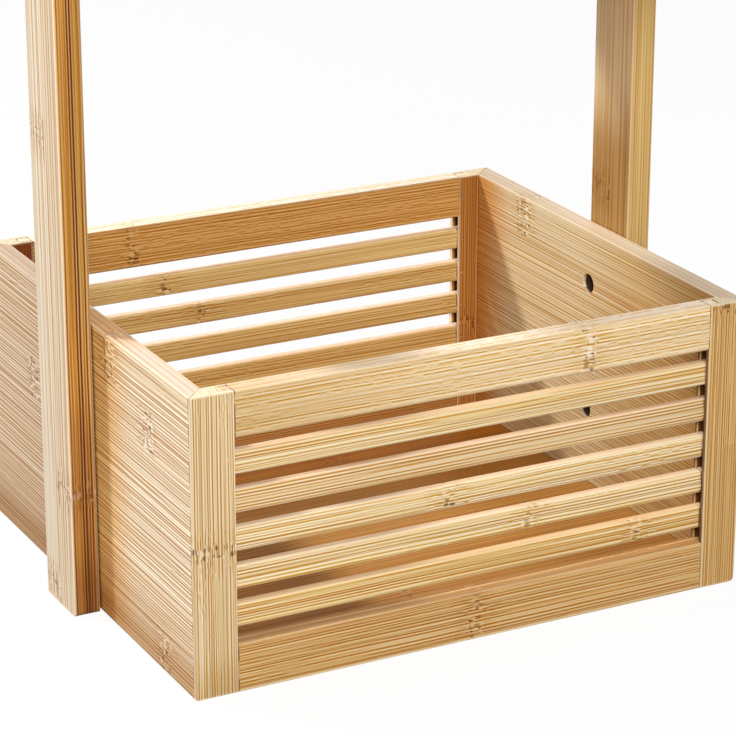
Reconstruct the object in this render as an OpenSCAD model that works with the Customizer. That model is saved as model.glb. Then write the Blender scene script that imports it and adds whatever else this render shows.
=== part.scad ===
// Free-standing bathroom shelf of laminated bamboo: two slatted baskets, one above
// the other, each bolted between the same two uprights.
// The origin is on the floor, in the middle of the footprint. +Z is up, the front
// frames face -Y, and left is -X.

/* [Baskets] */
// Outside width of a basket, from side panel to side panel
basket_w = 334; // [260:1:460]
// Outside depth of a basket, from front frame to rear frame
basket_d = 289; // [200:1:380]
// Height of a basket
basket_h = 168; // [150:1:230]
// Clear height between the two baskets
tier_gap = 234; // [160:1:320]
// Thickness of the side panels and of both frames
board_t = 12; // [11.5:0.5:18]
// Radius on the outer lower edge of each side of a basket
basket_edge_r = 3; // [0.5:0.5:6]

/* [Frames] */
// Width of three of the four stiles, seen on the frame's face
stile_w = 25.5; // [20:0.5:40]
// Width of the right stile of the front frame, which is trimmed narrower
narrow_stile_w = 22.5; // [18:0.5:40]
// Height of the top rail
top_rail_h = 26; // [20:0.5:34]
// Height of the bottom rail
bottom_rail_h = 27.5; // [22:0.5:36]
// Radius on the rail edges that face the slats
rail_edge_r = 2; // [0.5:0.1:3]

/* [Slats] */
// Number of slats in each frame
slat_count = 5; // [3:1:6]
// Height of one slat
slat_h = 13.5; // [10:0.5:16]
// Thickness of one slat, and of the tongue on each end of a rail
slat_t = 6.4; // [5:0.1:7.4]
// Radius on the four long edges of a slat
slat_edge_r = 1.8; // [0.5:0.1:2.4]

/* [Stile groove] */
// Wood left in front of the groove
front_lip = 3.2; // [2.4:0.1:3.6]
// Depth of the groove, from the stile's inner edge
groove_deep = 7; // [5:0.5:10]
// Clearance on each side of a tongue in its groove
groove_fit = 0.15; // [0.05:0.05:0.25]
// Space left between the end of a tongue and the bottom of its groove
tongue_end_gap = 0.8; // [0.3:0.1:1.5]

/* [Pins] */
// Diameter of the pins that lock the tongues in the stiles
pin_d = 1.2; // [1:0.1:1.6]
// Distance from the stile's inner edge to the middle of a pin
pin_inset = 2; // [1.5:0.1:3]
// Depth of a pin's head below the stile's inner face
pin_sink = 1; // [0.5:0.1:1.5]
// Wood left between a pin's tip and the stile's outer face
pin_skin = 2; // [1:0.1:2.3]
// Radial clearance of a pin in its hole
pin_fit = 0.05; // [0.03:0.01:0.1]

/* [Floor panels] */
// Thickness of a basket's floor
floor_t = 8; // [6:0.5:12]
// Height of the floor's underside above the basket's lower edge
floor_up = 4; // [3:0.5:10]
// Depth of the grooves in the side panels that carry the floor
floor_groove_deep = 4; // [3:0.5:6]
// Clearance above the floor in its groove
floor_fit = 0.2; // [0.1:0.05:0.5]
// Space left at each end of the floor in its groove
floor_end_gap = 0.5; // [0.3:0.1:1]
// Space left between the floor and each frame
floor_side_gap = 0.3; // [0.2:0.05:1]

/* [Uprights] */
// Thickness of an upright, square to the side panel
upright_t = 15; // [14:0.5:25]
// Width of an upright, along the side panel
upright_w = 41; // [30:1:60]
// Radius on the long edges of an upright
upright_edge_r = 1; // [0.5:0.1:3]
// Radius on the corners at both ends of an upright
upright_corner_r = 3; // [0.5:0.5:8]

/* [Bolts] */
// Nominal diameter of the bolts
bolt_d = 6; // [5:0.5:8]
// Diameter of a bolt's domed head
bolt_head_d = 10.5; // [9.5:0.5:11]
// Height of a bolt's head
bolt_head_h = 3.3; // [2.8:0.1:5]
// Height of the straight rim under the dome
bolt_rim_h = 0.8; // [0.5:0.1:1.2]
// Width across the flats of the socket in a bolt's head
socket_af = 4; // [3:0.5:5]
// Depth of the socket in a bolt's head
socket_deep = 2.2; // [1.5:0.1:2.5]
// Diameter of the counterbore in the side panel
counterbore_d = 12; // [11.5:0.5:15]
// Depth of the counterbore, from the panel's inner face
counterbore_deep = 8; // [6:0.5:9]
// Radial clearance of a bolt in the side panel
bolt_fit = 0.3; // [0.1:0.05:0.5]
// Height of the lower bolt above the basket's lower edge
low_bolt_up = 58; // [35:1:70]
// Distance from the basket's rim down to the upper bolt
high_bolt_down = 32; // [20:1:60]

/* [Inserts] */
// Outside diameter of the threaded inserts in the uprights
insert_d = 10; // [9.5:0.5:12]
// Length of an insert below its flange
insert_l = 11; // [8:0.5:12]
// Diameter of the flange, which stands between an upright and a side panel
flange_d = 13; // [12.5:0.5:18]
// Thickness of the flange
flange_t = 0.9; // [0.5:0.1:2]
// Radial clearance of an insert in its hole, and of a bolt in its insert
insert_fit = 0.05; // [0.03:0.01:0.1]
// Space left behind an insert
insert_end_gap = 0.8; // [0.5:0.1:1.5]

/* [Hidden] */
$fn = 48;
overcut = 1;
bamboo_pale = [0.90, 0.78, 0.60];
bamboo_tan = [0.84, 0.68, 0.45];
bamboo_deep = [0.74, 0.54, 0.31];
steel = [0.72, 0.72, 0.74];

tiers = ["lower", "upper"];
tier_up = [0, basket_h + tier_gap];
total_h = tier_up[1] + basket_h;
half_w = basket_w / 2;
half_d = basket_d / 2;

groove_w = slat_t + 2 * groove_fit;
tongue_l = groove_deep - tongue_end_gap;
tongue_y = front_lip + groove_fit;

window_h = basket_h - top_rail_h - bottom_rail_h;
slat_gap = (window_h - slat_count * slat_h) / (slat_count + 1);
// Height of each slat's lower edge, the lowest slat first
slat_ups = [for (i = [0 : slat_count - 1]) bottom_rail_h + slat_gap + i * (slat_h + slat_gap)];
// Height of each pin: one through every rail and every slat
pin_ups = concat(
    [bottom_rail_h / 2],
    [for (up = slat_ups) up + slat_h / 2],
    [basket_h - top_rail_h / 2]
);
pin_l = board_t - pin_sink - pin_skin;

bolt_ups = [low_bolt_up, basket_h - high_bolt_down];
bolt_grip = board_t - counterbore_deep;
bolt_l = bolt_grip + flange_t + insert_l;
dome_h = bolt_head_h - bolt_rim_h;
dome_r = (pow(bolt_head_d / 2, 2) + pow(dome_h, 2)) / (2 * dome_h);
insert_hole_deep = insert_l + insert_end_gap;

FRAMES = ["front", "rear"];

// Width of the stile at one end of one frame; side is -1 for left and 1 for right
function stile_width(frame, side) = frame == "front" && side == 1 ? narrow_stile_w : stile_w;
// Place of a stile's inner edge along the frame
function stile_edge(frame, side) = side * (half_w - stile_width(frame, side));

// A rectangle with its lower corner at the origin and its own radius on the lower
// and on the upper pair of corners
module rounded_profile(wide, high, low_r, high_r) {
    translate([0, low_r]) square([wide, high - low_r - high_r]);
    for (end = [[low_r, low_r], [high_r, high - high_r]]) {
        r = end[0];
        up = end[1];
        if (r > 0) {
            for (x = [r, wide - r]) translate([x, up]) circle(r);
            translate([r, up - r]) square([wide - 2 * r, 2 * r]);
        }
    }
}

// What a radius takes off an edge that runs along Y. The edge is at the origin, and the
// wood lies to the right of it and above
module edge_cut(r, long) {
    rotate([90, 0, 0]) linear_extrude(long, center = true) difference() {
        translate([-overcut, -overcut]) square(r + overcut);
        translate([r, r]) circle(r);
    }
}

// Stands a profile drawn across and up on edge, and runs it along X between two places
module run_along_x(from, to) {
    translate([from, 0, 0])
        rotate([90, 0, 90]) linear_extrude(to - from) children();
}

// Puts a piece drawn on the front frame, outer face at y = 0, into either frame
module in_frame(tier, frame) {
    translate([0, 0, tier_up[tier]])
        mirror([0, frame == "rear" ? 1 : 0, 0])
            translate([0, -half_d, 0]) children();
}

// Puts a piece drawn on the left side of a basket onto either side
module on_side(side) {
    mirror([side == 1 ? 1 : 0, 0, 0]) children();
}

module pin_bores(frame, side) {
    x = stile_edge(frame, side) + side * pin_inset;
    for (up = pin_ups)
        translate([x, pin_skin, up])
            rotate([-90, 0, 0]) cylinder(r = pin_d / 2 + pin_fit, h = board_t - pin_skin + overcut);
}

module stile(tier, frame, side) {
    width = stile_width(frame, side);
    color(bamboo_tan) in_frame(tier, frame) difference() {
        on_side(side) translate([-half_w, 0, 0]) difference() {
            linear_extrude(basket_h)
                polygon([[0, 0], [width, 0], [width, board_t], [board_t, board_t]]);
            translate([width - groove_deep, front_lip, -overcut])
                cube([groove_deep + overcut, groove_w, basket_h + 2 * overcut]);
            edge_cut(basket_edge_r, 2 * board_t + 2 * overcut);
        }
        pin_bores(frame, side);
    }
}

module rail(tier, frame, up, high, low_r, high_r) {
    left = stile_edge(frame, -1);
    right = stile_edge(frame, 1);
    color(bamboo_tan) in_frame(tier, frame) difference() {
        translate([0, 0, up]) {
            run_along_x(left, right) rounded_profile(board_t, high, low_r, high_r);
            translate([left - tongue_l, tongue_y, 0])
                cube([right - left + 2 * tongue_l, slat_t, high]);
        }
        for (side = [-1, 1]) pin_bores(frame, side);
    }
}

module top_rail(tier, frame) {
    rail(tier, frame, basket_h - top_rail_h, top_rail_h, rail_edge_r, 0);
}

module bottom_rail(tier, frame) {
    rail(tier, frame, 0, bottom_rail_h, 0, rail_edge_r);
}

module slat(tier, frame, number) {
    color(bamboo_pale) in_frame(tier, frame) difference() {
        translate([0, tongue_y, slat_ups[number - 1]])
            run_along_x(stile_edge(frame, -1) - tongue_l, stile_edge(frame, 1) + tongue_l)
                rounded_profile(slat_t, slat_h, slat_edge_r, slat_edge_r);
        for (side = [-1, 1]) pin_bores(frame, side);
    }
}

module side_panel(tier, side) {
    color(bamboo_pale) translate([0, 0, tier_up[tier]]) on_side(side) translate([-half_w, 0, 0])
        difference() {
            linear_extrude(basket_h) polygon([
                [0, -half_d], [board_t, board_t - half_d],
                [board_t, half_d - board_t], [0, half_d]
            ]);
            edge_cut(basket_edge_r, basket_d + 2 * overcut);
            translate([board_t - floor_groove_deep, board_t - half_d, floor_up])
                cube([floor_groove_deep + overcut, basket_d - 2 * board_t, floor_t + floor_fit]);
            for (up = bolt_ups) translate([-overcut, 0, up]) rotate([0, 90, 0]) {
                cylinder(r = bolt_d / 2 + bolt_fit, h = board_t + 2 * overcut);
                translate([0, 0, overcut + bolt_grip])
                    cylinder(d = counterbore_d, h = counterbore_deep + overcut);
            }
        }
}

module basket_floor(tier) {
    reach = half_w - board_t + floor_groove_deep - floor_end_gap;
    back = half_d - board_t - floor_side_gap;
    color(bamboo_deep) translate([-reach, -back, tier_up[tier] + floor_up])
        cube([2 * reach, 2 * back, floor_t]);
}

// Repeats what is drawn along +X from the outer face of a side panel, at each of the
// eight bolts
module at_bolts() {
    for (base = tier_up, up = bolt_ups, side = [-1, 1])
        translate([0, 0, base + up]) on_side(-side) translate([half_w, 0, 0])
            rotate([0, 90, 0]) children();
}

module upright(side) {
    color(bamboo_pale) difference() {
        on_side(-side) translate([half_w + flange_t, 0, 0]) difference() {
            translate([0, -upright_w / 2, 0]) linear_extrude(total_h)
                rounded_profile(upright_t, upright_w, upright_edge_r, upright_edge_r);
            for (turn = [0, 1], end = [0, 1])
                translate([0, 0, end * total_h]) mirror([0, turn, 0]) mirror([0, 0, end])
                    translate([0, -upright_w / 2, 0]) rotate([0, 0, 90])
                        edge_cut(upright_corner_r, 2 * upright_t + 2 * overcut);
        }
        at_bolts() translate([0, 0, flange_t - overcut])
            cylinder(r = insert_d / 2 + insert_fit, h = insert_hole_deep + overcut);
    }
}

module basket_bolts() {
    color(steel) at_bolts() translate([0, 0, -bolt_grip]) difference() {
        union() {
            cylinder(d = bolt_d, h = bolt_l);
            mirror([0, 0, 1]) rotate_extrude() intersection() {
                square([bolt_head_d / 2, bolt_head_h + overcut]);
                translate([0, bolt_head_h - dome_r]) circle(dome_r);
            }
        }
        translate([0, 0, -bolt_head_h - overcut])
            cylinder(d = socket_af / cos(30), h = socket_deep + overcut, $fn = 6);
    }
}

module upright_inserts() {
    color(steel) at_bolts() difference() {
        union() {
            cylinder(d = flange_d, h = flange_t);
            cylinder(d = insert_d, h = flange_t + insert_l);
        }
        translate([0, 0, -overcut])
            cylinder(r = bolt_d / 2 + insert_fit, h = flange_t + insert_l + 2 * overcut);
    }
}

module frame_pins() {
    color(steel) for (tier = [0, 1], frame = FRAMES) in_frame(tier, frame)
        for (side = [-1, 1], up = pin_ups)
            translate([stile_edge(frame, side) + side * pin_inset, pin_skin, up])
                rotate([-90, 0, 0]) cylinder(d = pin_d, h = pin_l);
}

for (tier = [0, 1]) {
    name = tiers[tier];
    side_panel(tier, -1);
    side_panel(tier, 1);
    basket_floor(tier);
    for (frame = FRAMES) {
        part = str(name, "_", frame);
        stile(tier, frame, -1);
        stile(tier, frame, 1);
        top_rail(tier, frame);
        bottom_rail(tier, frame);
        for (i = [1 : slat_count])
            slat(tier, frame, i);
    }
}
upright(-1);  // left_upright
upright(1);  // right_upright
basket_bolts();
upright_inserts();
frame_pins();
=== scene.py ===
# %% [markdown]
# This lesson dresses a free-standing bathroom shelf of laminated bamboo. Its pieces come from a packed CAD
# model at their real size, and nothing here moves or resizes them. They could be drawn again in Blender, but
# then the picture and the part would drift apart. We load that frame first. The dressed shelf has to stay
# inside its box.

# %% Load the frame
import math
import random

import bpy
from mathutils import Euler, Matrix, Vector


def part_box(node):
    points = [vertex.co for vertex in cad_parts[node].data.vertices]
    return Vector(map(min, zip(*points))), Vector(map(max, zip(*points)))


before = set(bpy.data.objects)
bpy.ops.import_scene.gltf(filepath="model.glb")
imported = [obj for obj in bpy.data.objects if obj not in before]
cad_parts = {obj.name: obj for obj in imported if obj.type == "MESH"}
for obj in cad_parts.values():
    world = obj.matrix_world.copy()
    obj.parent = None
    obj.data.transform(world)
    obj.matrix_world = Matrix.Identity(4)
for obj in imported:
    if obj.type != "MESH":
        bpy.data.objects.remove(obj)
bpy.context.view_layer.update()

MM = 0.001

# %% [markdown]
# The camera stands to the left of the shelf and looks down on its lower basket. A long lens keeps the sides
# of the basket nearly parallel. It could be aimed at a point by hand, but here its place was found by fitting
# the basket's corners to the photograph. So it is given as a place, a turn to the right, a tilt and a focal
# length in pixels of the 736 pixel frame.

# %% Place the camera
FRAME_PX = 736
SENSOR_MM = 36
FOCAL_PX = 3016
CAMERA_PLACE = (-0.7336, -1.4368, 0.7031)
CAMERA_TURN = math.radians(27.33)
CAMERA_TILT = math.radians(-20.21)

camera = bpy.data.objects.new("camera", bpy.data.cameras.new("camera"))
bpy.context.scene.collection.objects.link(camera)
camera.location = CAMERA_PLACE
camera.rotation_euler = Euler((math.pi / 2 + CAMERA_TILT, 0, -CAMERA_TURN))
camera.data.sensor_width = SENSOR_MM
camera.data.lens = FOCAL_PX / FRAME_PX * SENSOR_MM
bpy.context.scene.camera = camera
print("lens in mm:", round(camera.data.lens, 1))

# %% [markdown]
# The masks of the wood are sums and products, and shader maths reads best as maths. Math nodes could be
# linked one by one, which takes a line for each and hides the formula. This class wraps one socket instead,
# so that `1 - mask * 0.5` adds the Math nodes for us.

# %% Write shader maths as Python
class Flow:
    """A socket of a finish, used like a number."""

    def __init__(self, finish, socket):
        self.finish = finish
        self.socket = socket

    def __add__(self, other):
        return self.finish.maths("ADD", self, other)

    def __sub__(self, other):
        return self.finish.maths("SUBTRACT", self, other)

    def __rsub__(self, other):
        return self.finish.maths("SUBTRACT", other, self)

    def __mul__(self, other):
        return self.finish.maths("MULTIPLY", self, other)

    def __truediv__(self, other):
        return self.finish.maths("DIVIDE", self, other)

    def __abs__(self):
        return self.finish.maths("ABSOLUTE", self)

    __radd__ = __add__
    __rmul__ = __mul__


print("a flow knows", ", ".join(name for name in vars(Flow) if callable(getattr(Flow, name))))

# %% [markdown]
# A finish is a node tree, and every node of it comes from one method. It takes the node's type, its settings,
# which are set first because they can change its sockets, and the values or links of the sockets. The short
# methods after it are the nodes that wood needs most: a soft step, a noise, a mix of colours and a place.

# %% Add any node with one method
MIX_FIRST = 6
MIX_SECOND = 7
MIX_COLOUR = 2


class Finish:
    """A node tree, and the method that adds a node to it."""

    def __init__(self, tree):
        self.tree = tree
        tree.nodes.clear()

    def add(self, kind, settings=None, sockets=None, out=0):
        node = self.tree.nodes.new(kind if "Node" in kind else "ShaderNode" + kind)
        for name, value in (settings or {}).items():
            setattr(node, name, value)
        for name, value in (sockets or {}).items():
            if isinstance(value, Flow):
                self.tree.links.new(value.socket, node.inputs[name])
            else:
                node.inputs[name].default_value = value
        return Flow(self, node.outputs[out]) if node.outputs else node

    def maths(self, operation, *values):
        return self.add("Math", {"operation": operation}, dict(enumerate(values)))

    def vector(self, *parts):
        return self.add("CombineXYZ", {}, dict(enumerate(parts)))

    def parts(self, vector):
        split = self.add("SeparateXYZ", {}, {0: vector})
        return [Flow(self, socket) for socket in split.socket.node.outputs]

    def step(self, value, low, high):
        """0 below low, 1 above high and a smooth rise between them. Low may be the larger of the two."""
        return self.add("MapRange", {"interpolation_type": "SMOOTHSTEP"},
                        {"Value": value, "From Min": low, "From Max": high})

    def noise(self, vector, detail):
        return self.add("TexNoise", {}, {"Vector": vector, "Scale": 1.0, "Detail": detail})

    def mix(self, share, first, second, blend="MIX"):
        """A Mix node has sockets for every kind of value, so those for colours are named by number."""
        return self.add("Mix", {"data_type": "RGBA", "blend_type": blend, "clamp_factor": True},
                        {0: share, MIX_FIRST: first, MIX_SECOND: second}, out=MIX_COLOUR)

    def place(self):
        """The point in the piece's own place in space, which the Texture Coordinate node calls Object."""
        return self.add("TexCoord", out=3)

    def true_normal(self):
        """The way the flat face looks, without what smooth shading makes of it."""
        return self.add("NewGeometry", out=3)


print("a finish can", ", ".join(name for name in vars(Finish) if name[0] != "_"))

# %% [markdown]
# Every material starts with an empty node tree. Its colours are written here as the six digits that a paint
# program shows, so each can be compared with a picture of the shelf. Blender counts light, so a colour is
# turned into linear values first. The colour picker would do the same, but only by hand.

# %% Make a material and read a colour
def material(name):
    made = bpy.data.materials.new(name)
    made.use_nodes = True
    return made, Finish(made.node_tree)


def colour(code):
    """A colour as Blender wants it, linear, from the code that a paint program shows."""
    channels = [int(code[i:i + 2], 16) / 255 for i in (0, 2, 4)]
    linear = [c / 12.92 if c <= 0.04045 else ((c + 0.055) / 1.055) ** 2.4 for c in channels]
    return (*linear, 1.0)


print("white is", colour("FFFFFF"))

# %% [markdown]
# The shelf was photographed on white. A brighter world would give that white, but it would bleach the bamboo
# too. So the world is a soft grey light, in which a camera ray, a glossy ray and a transmitted ray find
# plain white. The floor is pale and keeps the shelf's shadow: for the camera it is mostly white light of
# strength 1, and the rest is a matte surface. Far from the shelf it turns all white, so its edge doesn't
# show. To the light that it throws back at the shelf it is a greyer paper, or the undersides would glow.

# %% Make the world and the floor
AMBIENT = 0.22
FLOOR_HALF = 6.0
FLOOR_WHITE_SHARE = 0.90
FADE_FROM = 1.2
FADE_TO = 3.5
PAPER_SEEN = "F4F3F2"
PAPER_FOR_LIGHT = "AEACAA"

world = bpy.data.worlds.new("studio")
bpy.context.scene.world = world
world.use_nodes = True
sky = Finish(world.node_tree)
ray = sky.add("LightPath").socket.node.outputs
seen = sky.maths("MAXIMUM", Flow(sky, ray["Is Camera Ray"]), Flow(sky, ray["Is Glossy Ray"]))
seen = sky.maths("MAXIMUM", seen, Flow(sky, ray["Is Transmission Ray"]))
strength = AMBIENT + seen * (1 - AMBIENT)
light = sky.add("Background", {}, {"Color": (1, 1, 1, 1), "Strength": strength})
sky.add("OutputWorld", {}, {"Surface": light})

floor_material, paper = material("floor_paper")
from_camera = Flow(paper, paper.add("LightPath").socket.node.outputs["Is Camera Ray"])
matte_colour = paper.mix(from_camera, colour(PAPER_FOR_LIGHT), colour(PAPER_SEEN))
matte = paper.add("BsdfDiffuse", {}, {"Color": matte_colour})
glow = paper.add("Emission", {}, {"Color": (1, 1, 1, 1), "Strength": 1.0})
distance = paper.add("VectorMath", {"operation": "LENGTH"}, {0: paper.place()}, out=1)
white = FLOOR_WHITE_SHARE + paper.step(distance, FADE_FROM, FADE_TO) * (1 - FLOOR_WHITE_SHARE)
both = paper.add("MixShader", {}, {0: from_camera * white, 1: matte, 2: glow})
paper.add("OutputMaterial", {}, {"Surface": both})

corners = [(-FLOOR_HALF, -FLOOR_HALF, 0), (FLOOR_HALF, -FLOOR_HALF, 0),
           (FLOOR_HALF, FLOOR_HALF, 0), (-FLOOR_HALF, FLOOR_HALF, 0)]
floor_mesh = bpy.data.meshes.new("floor")
floor_mesh.from_pydata(corners, [], [(0, 1, 2, 3)])
floor = bpy.data.objects.new("floor", floor_mesh)
floor.data.materials.append(floor_material)
bpy.context.scene.collection.objects.link(floor)
print("floor is", 2 * FLOOR_HALF, "m wide")

# %% [markdown]
# Three soft boxes light it. The key is small and hangs behind the left side, low enough to reach under the
# upper basket, so the rear frame and the left upright throw clear shadows on the side panels. The fill hangs
# in front, and a large weak box on the left softens the key's shadows. Powers in watts are hard to guess, so
# each is worked out from the level that the lamp should give on a white sheet facing it.

# %% Hang the lamps
bpy.context.scene.view_settings.view_transform = "Standard"
LAMP_AIM = Vector((0, 0, 0.12))


def lamp(name, direction, distance, size, level):
    """A square soft box. Level 1 alone would show a white sheet that faces it as white."""
    data = bpy.data.lights.new(name, "AREA")
    data.shape = "SQUARE"
    data.size = size
    data.energy = level * math.pi ** 2 * distance ** 2
    made = bpy.data.objects.new(name, data)
    bpy.context.scene.collection.objects.link(made)
    made.location = LAMP_AIM + Vector(direction).normalized() * distance
    made.rotation_euler = (LAMP_AIM - made.location).to_track_quat("-Z", "Y").to_euler()
    print(name, "has", round(data.energy, 1), "W")


lamp("key", direction=(-0.70, 0.70, 0.85), distance=2.2, size=0.20, level=0.92)
lamp("fill", direction=(-0.30, -1.0, 0.80), distance=2.4, size=1.0, level=0.89)
lamp("side", direction=(-1.0, -0.1, 0.35), distance=2.4, size=1.0, level=0.24)

# %% [markdown]
# A planed board never ends in a perfect edge: each arris is broken by about half a millimetre, and that thin
# strip catches the light. A Bevel modifier does it, but the packed mesh needs care first. Its faces are
# unjoined, so Weld joins them. A flat face comes as many slivers, which a bevel would fold over, so Decimate
# joins those that lie in one plane. Geometry nodes then mark the edges to break, all sharp edges but the
# short ones round a pin hole, and mark what is sharp for shading.

# %% Break the arrises
ARRIS = 0.45 * MM
WELD_GAP = 0.001 * MM
FLAT_ANGLE = math.radians(0.5)
SHARP_ANGLE = math.radians(30)
SHORT_EDGE = 2.5 * MM


def edge_marks():
    """Geometry nodes that mark the sharp edges for shading, and the long ones of them for the bevel."""
    tree = bpy.data.node_groups.new("edge_marks", "GeometryNodeTree")
    tree.interface.new_socket("Geometry", in_out="INPUT", socket_type="NodeSocketGeometry")
    tree.interface.new_socket("Geometry", in_out="OUTPUT", socket_type="NodeSocketGeometry")
    marks = Finish(tree)
    mesh = marks.add("NodeGroupInput")
    ends = marks.add("GeometryNodeInputMeshEdgeVertices").socket.node.outputs
    length = marks.add("VectorMath", {"operation": "DISTANCE"},
                       {0: Flow(marks, ends[2]), 1: Flow(marks, ends[3])}, out=1)
    sharp = marks.maths("GREATER_THAN", marks.add("GeometryNodeInputMeshEdgeAngle"), SHARP_ANGLE)
    broken = sharp * marks.maths("GREATER_THAN", length, SHORT_EDGE)
    mesh = marks.add("GeometryNodeRemoveAttribute", {}, {"Geometry": mesh, "Name": "custom_normal"})
    mesh = marks.add("GeometryNodeSetShadeSmooth", {}, {"Geometry": mesh})
    mesh = marks.add("GeometryNodeStoreNamedAttribute", {"data_type": "BOOLEAN", "domain": "EDGE"},
                     {"Geometry": mesh, "Name": "sharp_edge", "Value": sharp})
    mesh = marks.add("GeometryNodeStoreNamedAttribute", {"data_type": "FLOAT", "domain": "EDGE"},
                     {"Geometry": mesh, "Name": "bevel_weight_edge", "Value": broken})
    marks.add("NodeGroupOutput", {}, {0: mesh})
    return tree


def break_arrises(piece, width, marks):
    weld = piece.modifiers.new("weld", "WELD")
    weld.merge_threshold = WELD_GAP
    flat = piece.modifiers.new("flat", "DECIMATE")
    flat.decimate_type = "DISSOLVE"
    flat.angle_limit = FLAT_ANGLE
    marked = piece.modifiers.new("edge_marks", "NODES")
    marked.node_group = marks
    bevel = piece.modifiers.new("arris", "BEVEL")
    bevel.width = width
    bevel.segments = 2
    bevel.limit_method = "WEIGHT"
    bevel.use_clamp_overlap = False
    bevel.harden_normals = True


HARDWARE = ("basket_bolts", "upright_inserts", "frame_pins")
boards = {name: piece for name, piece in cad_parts.items() if name not in HARDWARE}
arris_marks = edge_marks()
for piece in boards.values():
    break_arrises(piece, ARRIS, arris_marks)
print(len(boards), "boards have broken arrises")

# %% [markdown]
# Bamboo boards are glued from strips of split cane. Each strip has its own tone and shows fine fibre lines
# along the grain. The finish of such a board could be a picture, but every board would need its own, laid
# over its edges without a seam. Here one function works it out in the board's own place in space. What
# differs from board to board is a short list of values, first for the six kinds of board.

# %% Describe the kinds of board
STRIP_W = 24 * MM
LAYER_T = 6 * MM
CREAM = "FFF8E6"

# Grain and wide are axes: of the fibres and of the board's wide side. Pale and tan are the two tones of a
# strip, line is the colour that a line multiplies them by, and bright is the wood beside a line. Names with
# edge in front are the same for narrow faces. Stripe is the pitch of the lines and length their run, both in
# mm, dashes the share that is broken up and lines their strength. Lumps is how much a knuckle's pale lumps
# stand out, and knuckle how wide it is.
# The edge colours are partly the strips' own tone and partly painted light: rails and side panels are paler
# on their narrow faces, which stands in for light on their tops, and slats darker there, which stands in for
# shade on their tops under the slat or rail above.
KINDS = {
    "side": dict(grain=1, wide=2, pale="EBD8BA", tan="DCBE98", line="D4AE7C", edge="ECD8C5",
                 stripe=1.9, length=150, dashes=0.15, lines=2.0, edge_stripe=3.2, edge_lines=0.7,
                 lumps=0.9, knuckle=1.9),
    "floor": dict(grain=0, wide=1, pale="E4AC55", tan="D29642", line="D8AC60", edge="D3A267",
                  bright="EEC47C", stripe=2.2, length=120, dashes=0.2, lines=0.7, edge_lines=0.5),
    "stile": dict(grain=2, wide=0, pale="F0DCB6", tan="DEC292", line="DEB850", edge="F2DFBC",
                  stripe=1.5, length=90, dashes=0.25, lines=1.5, edge_lines=0.6),
    "rail": dict(grain=0, wide=2, pale="F2DCB2", tan="E0C48E", line="E4C250", edge="FAF1E2",
                 stripe=1.7, length=80, dashes=0.8, lines=1.0, edge_stripe=3.0, edge_lines=0.7),
    "slat": dict(grain=0, wide=2, pale="F6E2B8", tan="DDBC84", line="DEB850", edge="E8CFB8",
                 stripe=1.7, length=120, dashes=0.2, lines=1.7, edge_stripe=2.6, edge_lines=0.6),
    "upright": dict(grain=2, wide=1, pale="ECE0CC", tan="DFCCB0", line="D6B07C", edge="E8CA98",
                    stripe=3.4, length=220, dashes=0.05, lines=1.2, edge_stripe=1.7, edge_lines=1.2),
}

# %% [markdown]
# No two boards of the photograph have the same tone. Some differ as a whole, and some change along their
# length. A tint multiplies a whole board. The inner colour multiplies only the faces that look into the
# basket, and is painted shade, which makes them more amber than the outer ones. Zones multiply it along the
# grain: from nothing at the first place to all of the colour at the second, both in mm. Shades do so across
# the board, and the names in front of zones say on which faces. On the floor, the side panels and the right
# upright most of them are painted shade and shadow. Inward is the axis that a board looks into the basket
# along, 1 where none is given. Layers change the edge of a board with the depth. Where several zones or
# layers reach, the last one counts.

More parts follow.
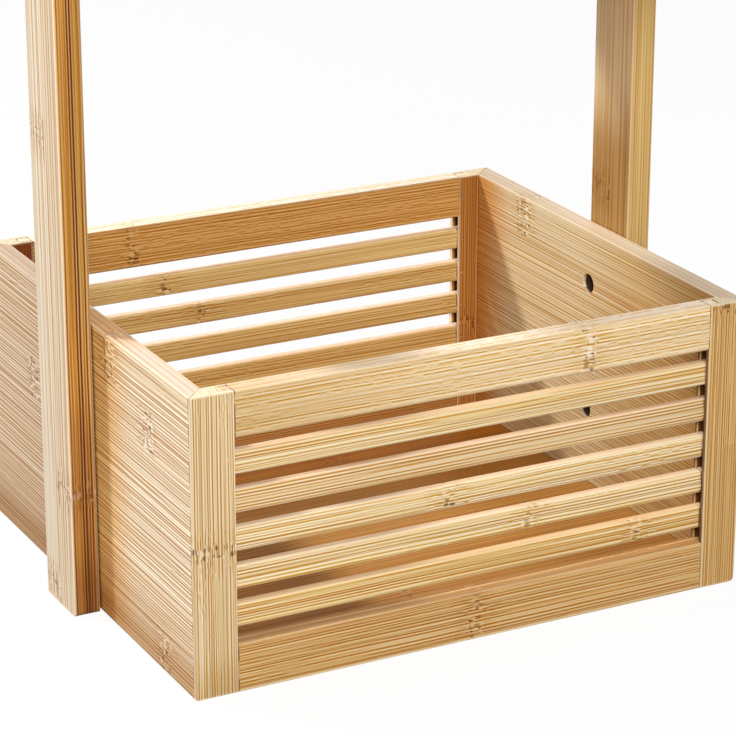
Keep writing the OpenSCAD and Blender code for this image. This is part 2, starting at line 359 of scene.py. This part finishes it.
# %% Describe single boards
OWN = {
    "left_upright": dict(tint="E2E0DC", edge="ECBB56", edge_tan="D69B3D", edge_line="BC8646", edge_lines=1.2,
                         edge_bright="EAC078", layers=((-177, -176, "975C19"), (-174, -173, "C18932")),
                         edge_zones=((140, 95, "E2D7D4"), (50, 15, "C8B6AF"))),
    # The zone on the right upright's wide faces is painted shade: they turn darker and more amber from 265 mm
    # down to 212 mm.
    "right_upright": dict(tint="E2CBA3", pale="FBF8F5", tan="EFE6D7", line="D9AE69", lines=0.8,
                          wide_zones=((265, 212, "BDA881"),),
                          edge="F5EDC3", edge_tan="E3CF9A", edge_line="D8B46C", edge_lines=0.6),
    "lower_front_left_stile": dict(tint="E9E4DA", zones=((28, 6, "F1EAD7"),)),
    # The right front stile's narrow faces are painted dark brown as shade: between the slats its inner edge
    # lies in shade.
    "lower_front_right_stile": dict(tint="DEC69B", dashes=0.0, edge="66350D"),
    "lower_front_top_rail": dict(tint="FBF7F4", zones=((60, -160, "E4DAC7"),)),
    "lower_front_slat_5": dict(tint="EEE7D2"),
    "lower_front_slat_4": dict(tint="ECE5D8"),
    "lower_front_slat_3": dict(tint="F4F0E2"),
    "lower_front_slat_2": dict(tint="F3EFE0"),
    "lower_front_slat_1": dict(tint="F2E9CC"),
    # The bottom front rail's narrow faces are darker as painted shade: its top face lies in the shadow of the
    # lowest slat.
    "lower_front_bottom_rail": dict(tint="DCC6A0", line="DCB050", edge="C6A67E", dashes=0.3, lines=1.8),
    # Painted light and shade on the floor of the lower basket: lighter on the left, and darker to the right,
    # at the rear, where the rear frame's shadow falls, and at the front wall.
    "lower_floor": dict(tint="FFFFFF", zones=((-130, -60, "E2E2EA"), (50, 110, "CFC9C4")),
                        shades=((-10, 90, "DFC589"), (-90, -112, "E0D8D8"))),
    "upper_floor": dict(tint="E8DECE"),
    "upper_left_side": dict(tint="F2EFE6"),
    # Painted shadow and shade on the left panel: amber in front of the upright, where its shadow falls, and
    # darker behind it. Across, it turns darker towards the bottom.
    "lower_left_side": dict(tint="EFF0EE", zones=((-76, -24, "F4D293"), (0, 10, "E4DCD6")),
                            shades=((38, 8, "D6BB99"),)),
    # Painted shade on the inner face of the right panel: darker towards the front, and amber near the rear
    # corner, where the rear frame's shadow falls.
    "lower_right_side": dict(tint="E1E2D9", line="E0BC50", lines=1.0, edge_lines=0.3, inward=0,
                             inner_zones=((20, -70, "E8D8BB"), (-80, -140, "D1B27E"), (84, 128, "EEBC80"))),
    # The inner colours of the rear frame are painted shade: its inner faces lie in the shade of the basket.
    "lower_rear_left_stile": dict(inner="9B602D"),
    "lower_rear_right_stile": dict(inner="C2935C"),
    "lower_rear_top_rail": dict(inner="E4C796", lines=1.8),
    "lower_rear_slat_5": dict(inner="EDE9CC", dashes=0.6, lines=0.9),
    "lower_rear_slat_4": dict(inner="E2D6B2", dashes=0.6, lines=0.9),
    "lower_rear_slat_3": dict(inner="E2D6B2", dashes=0.6, lines=0.9),
    "lower_rear_slat_2": dict(inner="DECDA4", dashes=0.6, lines=0.9),
    "lower_rear_bottom_rail": dict(inner="C29C71"),
}


def kind_of(name):
    return next(kind for kind in KINDS if kind in name)


TINTS = ["FFFFFF", "FDF8EE", "FAF2E2", "F8ECD8", "F4E4CA"]


def look_of(name):
    """The values of the board's kind, with a tint by chance, and then with what is its own."""
    own = OWN.get(name, {})
    tint = "FFFFFF" if "inner" in own else random.Random("tint of " + name).choice(TINTS)
    return {"tint": tint, **KINDS[kind_of(name)], **own}


for kind in KINDS:
    print(kind, sum(kind_of(name) == kind for name in boards))

# %% [markdown]
# Some knuckles stand where the photograph shows them. They are given as a place along the grain and, on a
# board of several strips, a place across it, both in mm. Every other board gets its knuckles by chance, from
# its own name, so that each run gives the same ones.

# %% Place the knuckles
KNUCKLES = {
    "lower_rear_top_rail": [(-79, None)],
    "lower_rear_slat_5": [(-57, None)],
    "lower_rear_slat_4": [(-34, None)],
    "lower_left_side": [(-40, 146), (-91, 122), (-106, 20), (72, 98)],
    "lower_right_side": [(76, 146)],
    "lower_front_left_stile": [(82, None)],
    "lower_front_top_rail": [(68, None)],
    "lower_front_slat_3": [(-15, None)],
    "lower_front_slat_2": [(35, None)],
    "lower_front_slat_1": [(102, None)],
    "lower_front_bottom_rail": [(0, None)],
    "left_upright": [(268, 0), (9, 0), (72, -15)],
    "right_upright": [(190, 11)],
}
CHANCE_OF_KNUCKLE = 0.6


def knuckles_of(name, low, high, grain, wide, strips):
    """Places in metres: along the grain, and the middle of the strip across it."""
    strip_w = (high[wide] - low[wide]) / strips
    if name in KNUCKLES:
        wanted = [(along * MM, low[wide] if across is None else across * MM)
                  for along, across in KNUCKLES[name]]
    else:
        chance = random.Random(name)
        wanted = [(chance.uniform(low[grain], high[grain]), low[wide] + (i + 0.5) * strip_w)
                  for i in range(strips) if chance.random() < CHANCE_OF_KNUCKLE]
    found = []
    for along, across in wanted:
        strip = min(strips - 1, max(0, int((across - low[wide]) / strip_w)))
        found.append((along, low[wide] + (strip + 0.5) * strip_w))
    return found


print(sum(len(places) for places in KNUCKLES.values()), "knuckles are placed by hand")

# %% [markdown]
# A board is glued from strips, and a thick one from layers of strips. The tone of each could be painted by
# hand, but the boards hold more than a hundred of them. So a strip is found by its number, and a White Noise
# texture turns the number into three chance values that it keeps over its whole length.

# %% Find the strip and its chance values
def strips_of(fin, across, deep, low, high, wide, thick, seed):
    """The number of strips, and the three chance values of the strip at this point."""
    count = max(1, round((high[wide] - low[wide]) / STRIP_W))
    layers = max(1, round((high[thick] - low[thick]) / LAYER_T))
    strip = fin.maths("FLOOR", (across - low[wide]) * (count / (high[wide] - low[wide])))
    layer = fin.maths("FLOOR", (deep - low[thick]) * (layers / (high[thick] - low[thick])))
    chance = fin.add("TexWhiteNoise", {}, {"Vector": fin.vector(strip + 0.5, layer + 0.5, seed)}, out=1)
    return count, fin.parts(chance)


for name in ("lower_left_side", "lower_floor", "lower_front_slat_1", "left_upright"):
    low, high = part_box(name)
    wide = look_of(name)["wide"]
    width = high[wide] - low[wide]
    print(name, "is", round(width / MM), "mm wide, strips across:", max(1, round(width / STRIP_W)))

# %% [markdown]
# The cane's fibre bundles show as fine amber lines. A Wave texture would draw them all alike, so the lines
# are made from their numbers as well: each stands a little off its even place, has its own strength, and
# fades in and out along the grain. Where the cane was cut at a slant, and near a knuckle, the lines break up
# into dashes. Two sets of lines with different pitches lie over each other, which hides how regular they are.

# %% Draw the fibre lines
DASH = 7 * MM

# The middle of a line lies between two shares of its pitch. In the same shares, counted from that middle,
# the dark is full up to the second of LINE_DARK and gone at the first, and the pale wood beside it begins at
# the first of LINE_RIM and is full at the second.
LINE_PLACES = (0.32, 0.68)
LINE_DARK = (0.32, 0.12)
LINE_RIM = (0.26, 0.38)

# Along the grain a line follows a noise, which is read at a far place for each line: it begins and is full at
# the two values of LINE_ENDS.
NEXT_LINE = 60
LINE_ENDS = (0.38, 0.52)
FAINTEST_LINE = 0.3

# The share of the pitch and the strength of each set of lines.
LINE_SETS = ((1.0, 1.0), (1.45, 0.6))

# How far the lines wander, and how fast that changes along and across the grain, per metre. Each noise is
# read at a depth of its own, so that none repeats another.
DRIFT = 1.6 * MM
DRIFT_CHANGES = (9, 60)
DRIFT_DEPTH = 0.5

# Dashes show where another noise is high. DASH_FROM is that height on a board without them, DASH_SHARE what
# a full share of dashes takes off it, and DASH_RISE how softly they begin.
DASH_CHANGES = (14, 70)
DASH_DEPTH = 7.5
DASH_FROM = 0.72
DASH_SHARE = 0.45
DASH_RISE = 0.12


def lines_of(fin, along, over, pitch, length, dashed, shift):
    """One set of lines, and the pale wood between them. Where dashed is 1 they are short."""
    number = over / pitch + shift
    index = fin.maths("FLOOR", number)
    chance = fin.parts(fin.add("TexWhiteNoise", {}, {"Vector": fin.vector(index + 0.5, shift, 0.5)}, out=1))
    away = abs(number - index - LINE_PLACES[0] - (LINE_PLACES[1] - LINE_PLACES[0]) * chance[0])
    run = fin.noise(fin.vector(along / length + NEXT_LINE * chance[1], shift, index), 1)
    dash = fin.noise(fin.vector(along / DASH + NEXT_LINE * chance[1], shift, index), 1)
    value = run + (dash - run) * dashed
    strength = fin.step(value, *LINE_ENDS) * (FAINTEST_LINE + (1 - FAINTEST_LINE) * chance[2])
    return fin.step(away, *LINE_DARK) * strength, fin.step(away, *LINE_RIM) * strength


def fibres(fin, look, along, over, narrow, halo, shift):
    """Both sets of lines, dark and bright. On narrow faces they have the pitch of the edges."""
    spot = fin.vector(along * DRIFT_CHANGES[0], over * DRIFT_CHANGES[1] + shift, DRIFT_DEPTH)
    moved = over + (fin.noise(spot, 1) - 0.5) * DRIFT
    spot = fin.vector(along * DASH_CHANGES[0] + shift, over * DASH_CHANGES[1], DASH_DEPTH)
    region = fin.noise(spot, 1)
    start = DASH_FROM - DASH_SHARE * look["dashes"]
    dashed = fin.maths("MAXIMUM", fin.step(region, start, start + DASH_RISE), halo)
    wider = look.get("edge_stripe", look["stripe"]) - look["stripe"]
    pitch = (look["stripe"] + narrow * wider) * MM
    dark, bright = 0.0, 0.0
    for share, weight in LINE_SETS:
        more = lines_of(fin, along, moved, pitch * share, look["length"] * MM, dashed, shift)
        dark = more[0] * weight + dark
        bright = more[1] * weight + bright
    return dark, bright


for kind, look in KINDS.items():
    pitches = [round(look["stripe"] * line_set[0], 2) for line_set in LINE_SETS]
    print(kind, "has lines every", pitches[0], "and every", pitches[1], "mm")

# %% [markdown]
# Where the cane had a joint, a board shows a knuckle: a crooked band of pale lumps, dark seams and a few dark
# pores across one strip, with broken lines on both sides. The lumps and the pores are cells of two Voronoi
# textures, stretched along the grain and cut off outside the band. The band sways from side to side by noise.

# %% Draw the knuckles
# The sizes of the cells along and across the grain, and the two ends of each soft edge.
LUMP = (4.6 * MM, 1.8 * MM)
PORE = (3.4 * MM, 3.0 * MM)
SWAY = 10 * MM
BAND = (4.8 * MM, 3.2 * MM)
HALO = (18 * MM, 6 * MM)
STRIP_FADE = 0.2 * MM
SWAYS_PER_M = 90
LUMP_EDGE = (0.52, 0.34)
LUMP_PALE = (0.40, 0.48)
PORE_EDGE = (0.24, 0.14)
PORE_OPEN = (0.35, 0.42)
PORE_SEED = 9
FAINTEST_SEAM = 0.4


def cells(fin, along, over, size, seed):
    """Distances to the middles of long cells, and the three chance values of each cell."""
    spot = fin.vector(along / size[0], over / size[1], seed)
    cell = fin.add("TexVoronoi", {}, {"Vector": spot, "Scale": 1.0})
    return cell, fin.parts(Flow(fin, cell.socket.node.outputs["Color"]))


def knuckle_masks(fin, along, over, deep, across, places, strip_w, seed, size):
    """Where lines turn to dashes, and the knuckle's own pale lumps, dark seams and dots."""
    bend = fin.noise(fin.vector(over * SWAYS_PER_M, deep * SWAYS_PER_M, seed), 1.5)
    sway = (bend - 0.5) * (SWAY * size)
    lump, chance = cells(fin, along, over, LUMP, seed)
    core = fin.step(lump, *LUMP_EDGE)
    pale = fin.step(chance[0], *LUMP_PALE)
    pore, pore_chance = cells(fin, along, over, PORE, seed + PORE_SEED)
    hole = fin.step(pore, *PORE_EDGE) * fin.step(pore_chance[1], *PORE_OPEN)
    halo, band = 0.0, 0.0
    for place, middle in places:
        away = abs(along - place + sway)
        inside = fin.step(abs(across - middle), strip_w / 2 + STRIP_FADE, strip_w / 2 - STRIP_FADE)
        halo = fin.step(away, *HALO) * inside + halo
        band = fin.step(away, BAND[0] * size, BAND[1] * size) * inside + band
    seam = core * (1 - pale) * band * (FAINTEST_SEAM + (1 - FAINTEST_SEAM) * chance[2])
    return halo, core * pale * band, seam, hole * band


print("a knuckle is", round(2 * BAND[0] / MM, 1), "mm wide, and on a side panel",
      round(2 * BAND[0] * KINDS["side"]["knuckle"] / MM, 1), "mm")

# %% [markdown]
# Three more masks come from the board's own box. Along its arrises the wood is paler: worn, and partly a
# painted highlight. A surface well inside the box is the wall of a bore or a groove, which is painted dark as
# shade. A thin broken line marks the glued joints: the mitres of the side panels, and the shoulders of rails
# and slats, which stand against the stiles and take their places from them.

# %% Find the arrises, the bores and the joints
CAVITY = (1.2 * MM, 2.4 * MM)
WORN = (1.3 * MM, 0.4 * MM)
MITRE_LINE = (0.9 * MM, 0.4 * MM)
SHOULDER_LINE = (0.7 * MM, 0.35 * MM)
BREAKS_PER_M = 140
BREAK = (0.42, 0.58)
FAINTEST_GLUE = 0.35


def inset(place, low, high, axis):
    """How far a point lies inside the board's box along one axis."""
    return (high[axis] - low[axis]) / 2 - abs(place[axis] - (high[axis] + low[axis]) / 2)


def arris_and_cavity(fin, place, low, high):
    """1 along the arrises, where two faces of the box are near, and 1 where no face of it is near."""
    near = [inset(place, low, high, axis) for axis in range(3)]
    least = fin.maths("MINIMUM", fin.maths("MINIMUM", near[0], near[1]), near[2])
    most = fin.maths("MAXIMUM", fin.maths("MAXIMUM", near[0], near[1]), near[2])
    second = near[0] + near[1] + near[2] - least - most
    return fin.step(second, *WORN), fin.step(least, *CAVITY)


def shoulders_of(name):
    """Where the two stiles beside a rail or slat end, in metres along it."""
    own_frame = "_".join(name.split("_")[:2])
    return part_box(own_frame + "_left_stile")[1][0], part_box(own_frame + "_right_stile")[0][0]


def joint_mask(fin, name, along, place, low, high, grain):
    """1 on the glue line of the board, and 0 on a board that shows none."""
    kind = kind_of(name)
    if kind not in ("side", "rail", "slat"):
        return 0.0
    broken = fin.noise(fin.vector(*[part * BREAKS_PER_M for part in place]), 1)
    broken = FAINTEST_GLUE + fin.step(broken, *BREAK)
    if kind == "side":
        return fin.step(inset(place, low, high, grain), *MITRE_LINE) * broken
    left, right = shoulders_of(name)
    away = abs(abs(along - (left + right) / 2) - (right - left) / 2)
    return fin.step(away, *SHOULDER_LINE) * broken


for name in ("lower_front_top_rail", "lower_rear_top_rail"):
    print("the shoulders of", name, "are at", *[round(end / MM, 1) for end in shoulders_of(name)], "mm")

# %% [markdown]
# Now the colour is built up: first the two tones of a strip, then the fibre lines that stain them amber, and
# after the knuckles the tones and the painted shade and shadow that this board has in places. The lines
# multiply the wood, as a thin brown glaze would. Mixed in like a brown paint, they would look grey.

# %% Colour the wood
# Near a knuckle the lines are stronger by HALO_LINES and the wood takes HALO_STAIN of their colour. Glint is
# how much of the pale wood beside a line shows.
HALO_LINES = 0.5
HALO_STAIN = 0.2
GLINT = 0.75


def multiplied(fin, wood, share, code):
    return fin.mix(share, wood, colour(code), "MULTIPLY")


def in_places(fin, look, wood, along, across, narrow, inward):
    """Multiplies the wood by colours in places, along the grain or across it: tones, and painted shade and
    shadow.
    """
    ways = (("zones", along, 1.0), ("shades", across, 1.0), ("inner_zones", along, inward),
            ("wide_zones", along, 1 - narrow), ("edge_zones", along, narrow))
    for kind, way, share in ways:
        if kind not in look:
            continue
        tone = colour("FFFFFF")
        for start, full, code in look[kind]:
            tone = fin.mix(fin.step(way, start * MM, full * MM), tone, colour(code))
        wood = fin.mix(share, wood, tone, "MULTIPLY")
    return wood


def wood_of(fin, look, tone, deep, narrow, dark, bright, halo):
    """The two tones of the strips with the lines on them, on the wide faces and on the narrow ones."""
    wood = fin.mix(tone, colour(look["pale"]), colour(look["tan"]))
    edge = fin.mix(tone, colour(look["edge"]), colour(look.get("edge_tan", look["edge"])))
    for start, full, code in look.get("layers", ()):
        edge = fin.mix(fin.step(deep, start * MM, full * MM), edge, colour(code))
    wood = fin.mix(narrow, wood, edge)
    strength = (look["lines"] + narrow * (look["edge_lines"] - look["lines"])) * (1 + HALO_LINES * halo)
    line = fin.mix(narrow, colour(look["line"]), colour(look.get("edge_line", look["line"])))
    wood = fin.mix(dark * strength, wood, line, "MULTIPLY")
    glint = look.get("bright", CREAM)
    glint = fin.mix(narrow, colour(glint), colour(look.get("edge_bright", glint)))
    wood = fin.mix(bright * strength * GLINT, wood, glint)
    return fin.mix(halo * HALO_STAIN, wood, line, "MULTIPLY")


for kind, look in KINDS.items():
    kept = [round(part, 2) for part in colour(look["line"])[:3]]
    print("a full line on a", kind, "keeps", *kept, "of red, green and blue")

# %% [markdown]
# Other things hide the wood in places: the seams and pores of a knuckle, old glue, painted shade in a bore,
# and pale wood along the arrises, worn by hands and partly a painted highlight. They could be paint on a
# second layer of the mesh, but each is a mask already. So a cover is only a colour, and how much of it there
# is where its mask is 1.

# %% Cover the wood in places
SEAM = ("6A3E1A", 0.9)
PORE_DARK = ("4A2810", 0.9)
# Pale arrises: partly wear, partly a painted highlight.
WORN_AND_HIGHLIGHT = ("FBEBCB", 0.3)
GLUE = ("6B4220", 0.6)
# Painted shade in bores and grooves.
BORE_SHADE = ("3C1C08", 0.95)
CUT_DARK = ("9A6834", 0.5)


def covered(fin, wood, mask, cover):
    code, most = cover
    return fin.mix(mask * most, wood, colour(code))


print("a seam covers at most", SEAM[1], "of the wood, and a worn arris", WORN_AND_HIGHLIGHT[1])

# %% [markdown]
# The boards have a thin matte lacquer over fine relief. The lumps of a knuckle stand up, its pores and seams
# and the fibre lines lie lower, and lines and cut ends drink the lacquer and stay rougher. The relief could
# be cut into the mesh, but at a tenth of a millimetre that would take millions of faces. So the masks go
# through a Bump node, and a second sum of them makes the roughness.

# %% Lacquer the surface
# How far each mask raises or sinks the surface, as a share of BUMP_DEPTH.
RAISED_BRIGHT = 0.1
RAISED_LUMP = 1.0
SUNK_LINE = 0.15
SUNK_PORE = 1.4
SUNK_SEAM = 0.5
SUNK_SPECK = 0.6
BUMP_DEPTH = 0.12 * MM
BUMP_STRENGTH = 0.4

# The lacquer's roughness, and what the lines, the cut ends and the worn arrises change on it.
LACQUER_ROUGH = 0.46
ROUGH_LINE = 0.10
ROUGH_END = 0.15
SMOOTH_ARRIS = 0.06
LACQUER = {"Specular IOR Level": 0.25, "Coat Weight": 0.04, "Coat Roughness": 0.3}


def lacquered(fin, wood, dark, bright, lumps, seams, dots, end, speck, rim):
    relief = (bright * RAISED_BRIGHT + lumps * RAISED_LUMP - dark * SUNK_LINE - dots * SUNK_PORE
              - seams * SUNK_SEAM - end * speck * SUNK_SPECK)
    normal = fin.add("Bump", {}, {"Strength": BUMP_STRENGTH, "Distance": BUMP_DEPTH, "Height": relief})
    rough = LACQUER_ROUGH + dark * ROUGH_LINE + end * ROUGH_END - rim * SMOOTH_ARRIS
    shader = fin.add("BsdfPrincipled", {}, {"Base Color": wood, "Roughness": rough, "Normal": normal,
                                            **LACQUER})
    fin.add("OutputMaterial", {}, {"Surface": shader})


print("the bump stands for", round(BUMP_DEPTH / MM, 2), "mm of depth")

# %% [markdown]
# One function puts a board's finish together. It takes the point in the board's own place and the way the
# surface faces, so that a line on the front of a board goes on over its arris to the top. A face that cuts
# the fibres shows them as specks.

# %% Put a board's finish together
# How far a face has to look along an axis to be a narrow one, an inner one or a cut end.
NARROW_FACE = (0.6, 0.75)
INNER_FACE = (-0.3, -0.6)
END_FACE = (0.75, 0.9)

# A board without a knuckle gets one this far outside it, in metres, so that its masks are still made.
FAR_OFF = 0.1

# The tones of a strip change this often per metre of grain, and over this width.
TONE_CHANGES = 4
TONE_WIDTH = 4.5 * MM
TONE_DEPTH = 2.5
TONE_RISE = (0.30, 0.70)

# Each board reads its noises at a depth up to SEEDS, and two of its strips read them up to NEXT_STRIP apart.
SEEDS = 50
NEXT_STRIP = 31

SPECKS_PER_M = 900.0
SPECK = (0.42, 0.22)

# The colour of a cut end, how much of a knuckle's pale lumps shows where the board doesn't say, and what
# tells the strips apart: a colour, and how much of it the strip with the most of it has.
CUT_PALE = "E6D6B6"
LUMP_SHARE = 0.6
STRIP_TONE = ("F2E2CC", 0.4)


def bamboo(name):
    """A finish for one board, from its kind, its box and its name."""
    look = look_of(name)
    # The three axes are 0, 1 and 2, so the one left over is what is missing from 3.
    grain, wide = look["grain"], look["wide"]
    thick = 3 - grain - wide
    low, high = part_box(name)
    seed = random.Random(name).uniform(0, SEEDS)
    made, fin = material("bamboo_" + name)

    spot = fin.place()
    place = fin.parts(spot)
    facing = fin.parts(fin.true_normal())
    along, across, deep = place[grain], place[wide], place[thick]
    narrow = fin.step(abs(facing[wide]), *NARROW_FACE)
    inward = fin.step(facing[look.get("inward", 1)], *INNER_FACE)
    over = across + (deep - across) * narrow
    end = fin.step(abs(facing[grain]), *END_FACE)

    count, chance = strips_of(fin, across, deep, low, high, wide, thick, seed)
    strip_w = (high[wide] - low[wide]) / count
    places = knuckles_of(name, low, high, grain, wide, count) or [(low[grain] - FAR_OFF, low[wide])]
    halo, lumps, seams, dots = knuckle_masks(fin, along, over, deep, across, places, strip_w, seed,
                                             look.get("knuckle", 1.0))
    shift = chance[0] * NEXT_STRIP + seed
    dark, bright = fibres(fin, look, along, over, narrow, halo, shift)
    broad = fin.noise(fin.vector(along * TONE_CHANGES + shift, over / TONE_WIDTH, TONE_DEPTH), 1.5)

    wood = wood_of(fin, look, fin.step(broad, *TONE_RISE), deep, narrow, dark, bright, halo)
    wood = covered(fin, wood, seams, SEAM)
    wood = covered(fin, wood, lumps, (look.get("bright", CREAM), look.get("lumps", LUMP_SHARE)))
    wood = covered(fin, wood, dots, PORE_DARK)
    wood = in_places(fin, look, wood, along, across, narrow, inward)
    wood = multiplied(fin, wood, 1.0, look["tint"])
    # The inner colour is painted shade on the faces that look into the basket.
    if "inner" in look:
        wood = multiplied(fin, wood, inward, look["inner"])
    wood = multiplied(fin, wood, chance[1] * STRIP_TONE[1], STRIP_TONE[0])

    speck = fin.add("TexVoronoi", {}, {"Vector": spot, "Scale": SPECKS_PER_M})
    speck = fin.step(speck, *SPECK)
    rim, cavity = arris_and_cavity(fin, place, low, high)
    wood = fin.mix(end, wood, covered(fin, colour(CUT_PALE), speck, CUT_DARK))
    # Paler arrises: partly wear, partly a painted highlight.
    wood = covered(fin, wood, rim, WORN_AND_HIGHLIGHT)
    wood = covered(fin, wood, joint_mask(fin, name, along, place, low, high, grain), GLUE)
    # Painted shade on the walls of bores and grooves.
    wood = covered(fin, wood, cavity, BORE_SHADE)
    lacquered(fin, wood, dark, bright, lumps, seams, dots, end, speck, rim)
    return made


print("a strip changes its tone about every", round(1 / TONE_CHANGES / MM), "mm along the grain, and every",
      round(TONE_WIDTH / MM, 1), "mm across it")

# %% [markdown]
# Every board gets a finish of its own, because its strips, knuckles and tones are its own. The packed
# materials are plain colours and make room for it.

# %% Finish the boards
def put_on(piece, made):
    piece.data.materials.clear()
    piece.data.materials.append(made)


for name, piece in boards.items():
    put_on(piece, bamboo(name))
print("the last board has", len(piece.data.materials[0].node_tree.nodes), "nodes")

# %% [markdown]
# The hardware is zinc plated or bare steel. Plating is bright with faint cloudy patches and fine scratches. A
# plain metal would look like a mirror, so noise varies its roughness and its tone, and the scratches go into
# the bump. The three kinds differ only in their colour and roughness.

# %% Finish the hardware
CLOUDS_PER_M = 260
SCRATCHES_PER_M = (4000, 900, 900)
SCRATCH_DEPTH = 0.02 * MM
SCRATCH_STRENGTH = 0.2
CLOUD_PALE = "F2F2F0"


def steel(name, tint, smooth, rough):
    """Smooth and rough are the two ends between which the clouds change the roughness."""
    made, fin = material(name)
    parts = fin.parts(fin.place())
    clouds = fin.noise(fin.vector(*[part * CLOUDS_PER_M for part in parts]), 3)
    scratches = [part * per_m for part, per_m in zip(parts, SCRATCHES_PER_M)]
    scratches = fin.noise(fin.vector(*scratches), 1)
    tone = fin.mix(clouds, colour(tint), colour(CLOUD_PALE), "MULTIPLY")
    relief = fin.add("Bump", {}, {"Strength": SCRATCH_STRENGTH, "Distance": SCRATCH_DEPTH,
                                  "Height": scratches})
    shader = fin.add("BsdfPrincipled", {}, {"Base Color": tone, "Metallic": 1.0, "Normal": relief,
                                            "Roughness": smooth + clouds * (rough - smooth)})
    fin.add("OutputMaterial", {}, {"Surface": shader})
    return made


put_on(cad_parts["basket_bolts"], steel("bolt_zinc", "A8A6A2", smooth=0.08, rough=0.22))
put_on(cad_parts["upright_inserts"], steel("insert_zinc", "C9C8C2", smooth=0.25, rough=0.45))
put_on(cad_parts["frame_pins"], steel("pin_wire", "8E8A84", smooth=0.30, rough=0.50))
print(len(bpy.data.materials), "materials in all")

# %% [markdown]
